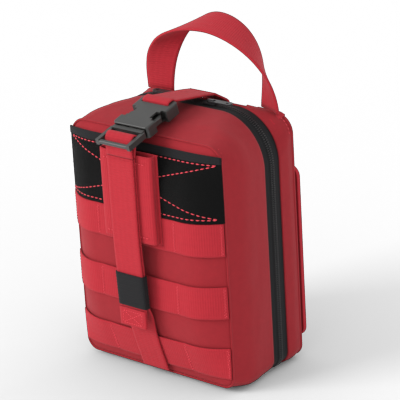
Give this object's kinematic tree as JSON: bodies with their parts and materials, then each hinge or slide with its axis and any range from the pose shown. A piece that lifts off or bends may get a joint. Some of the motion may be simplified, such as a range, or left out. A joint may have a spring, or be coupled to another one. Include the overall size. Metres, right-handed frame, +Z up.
{
  "type": "first aid pouch",
  "caption": "Soft clamshell first aid kit with zipped halves, side-release buckle strap, carry handle, webbing rows and a rip-away carrier panel.",
  "frame": {"origin": "on the resting plane, under the middle of the pouch", "axes": "+Z up, the front face looks along -Y, +X is the right-hand side seen from the front"},
  "size_m": [0.16, 0.132, 0.2689],
  "materials": {
    "red_fabric": "woven nylon, matt",
    "red_webbing": "ribbed webbing",
    "zip_tape": "woven tape",
    "zip_coil": "nylon coil",
    "black_loop": "hook and loop pile",
    "black_elastic": "knitted elastic",
    "black_plastic": "satin moulding",
    "slider_metal": "black enamel",
    "grey_lining": "nylon",
    "white_gauze": "cotton gauze",
    "tan_wrap": "crepe",
    "dressing_wrapper": "film wrapper",
    "plain_card": "coated card",
    "white_plastic": "moulded",
    "steel": "brushed"
  },
  "bodies": {
    "rear_half": {"rear_shell": "red_fabric", "rear_zip_tape": "zip_tape", "rear_zip_coil": "zip_coil", "upper_strap_anchor": "red_webbing", "handle_tab_left": "red_webbing", "handle_tab_right": "red_webbing", "pouch_loop_pad": "black_loop", "rear_elastic_loops": "black_elastic", "rear_pocket": "grey_lining", "gauze_roll_left": "white_gauze", "gauze_roll_right": "white_gauze", "cohesive_wrap": "tan_wrap", "wound_dressing": "dressing_wrapper", "adhesive_strips_box": "plain_card"},
    "front_half": {"front_shell": "red_fabric", "front_zip_tape": "zip_tape", "front_zip_coil": "zip_coil", "loop_field": "black_loop", "webbing_row_bottom": "red_webbing", "webbing_row_middle": "red_webbing", "webbing_row_top": "red_webbing", "shears_sleeve": "red_webbing", "front_strap": "red_webbing", "strap_tail": "red_webbing", "strap_keeper": "black_elastic", "front_elastic_loops": "black_elastic", "antiseptic_tube": "white_plastic", "ointment_tube": "white_plastic", "penlight": "slider_metal", "tweezers": "steel"},
    "plug": {"buckle_plug": "black_plastic", "strap_loop": "red_webbing"},
    "arm_left": {"latch_arm_left": "black_plastic"},
    "arm_right": {"latch_arm_right": "black_plastic"},
    "top_strap": {"upper_strap": "red_webbing", "buckle_socket": "black_plastic"},
    "handle": {"carry_handle": "red_webbing"},
    "slider_left": {"zip_slider_left": "slider_metal"},
    "slider_right": {"zip_slider_right": "slider_metal"},
    "pull_left": {"zip_pull_left": "slider_metal"},
    "pull_right": {"zip_pull_right": "slider_metal"},
    "carrier": {"carrier_panel": "red_fabric", "panel_hook_pad": "black_loop", "carrier_row_bottom": "red_webbing", "carrier_row_middle": "red_webbing", "carrier_row_top": "red_webbing", "attach_strap_left": "red_webbing", "attach_strap_right": "red_webbing", "attach_snap_left": "slider_metal", "attach_snap_right": "slider_metal"}
  },
  "joints": [
    {"name": "front_open", "type": "hinge", "parent": "rear_half", "child": "front_half", "pos_m": [0, 0.015, 0], "axis": [1, 0, 0], "range_deg": [0, 90]},
    {"name": "strap_flip", "type": "hinge", "parent": "rear_half", "child": "top_strap", "pos_m": [0, 0.027, 0.2094], "axis": [1, 0, 0], "range_deg": [-75, 0]},
    {"name": "plug_out", "type": "slide", "parent": "front_half", "child": "plug", "axis": [0, -0.9588, -0.284], "range_m": [0, 0.024]},
    {"name": "latch_right", "type": "hinge", "parent": "plug", "child": "arm_right", "pos_m": [0.008, -0.05454, 0.20228], "axis": [0, -0.284, 0.9588], "range_deg": [0, 8], "stiffness_Nm_per_rad": 0.05},
    {"name": "latch_left", "type": "hinge", "parent": "plug", "child": "arm_left", "pos_m": [-0.008, -0.05454, 0.20228], "axis": [0, -0.284, 0.9588], "range_deg": [-8, 0], "stiffness_Nm_per_rad": 0.05},
    {"name": "handle_swing", "type": "hinge", "parent": "rear_half", "child": "handle", "pos_m": [0, 0.041, 0.201], "axis": [1, 0, 0], "range_deg": [-90, 50]},
    {"name": "slider_left_run", "type": "slide", "parent": "rear_half", "child": "slider_left", "axis": [-1, 0, 0], "range_m": [0, 0.011]},
    {"name": "slider_right_run", "type": "slide", "parent": "rear_half", "child": "slider_right", "axis": [1, 0, 0], "range_m": [0, 0.011]},
    {"name": "pull_left_lift", "type": "hinge", "parent": "slider_left", "child": "pull_left", "pos_m": [-0.019, 0.015, 0.20845], "axis": [0, 1, 0], "range_deg": [0, 100]},
    {"name": "pull_right_lift", "type": "hinge", "parent": "slider_right", "child": "pull_right", "pos_m": [0.019, 0.015, 0.20845], "axis": [0, 1, 0], "range_deg": [-100, 0]},
    {"name": "carrier_pull", "type": "slide", "parent": "rear_half", "child": "carrier", "axis": [0, 1, 0], "range_m": [0, 0.05]}
  ],
  "couplings": [
    {"joint": "latch_left", "follows": "latch_right", "ratio": -1}
  ]
}
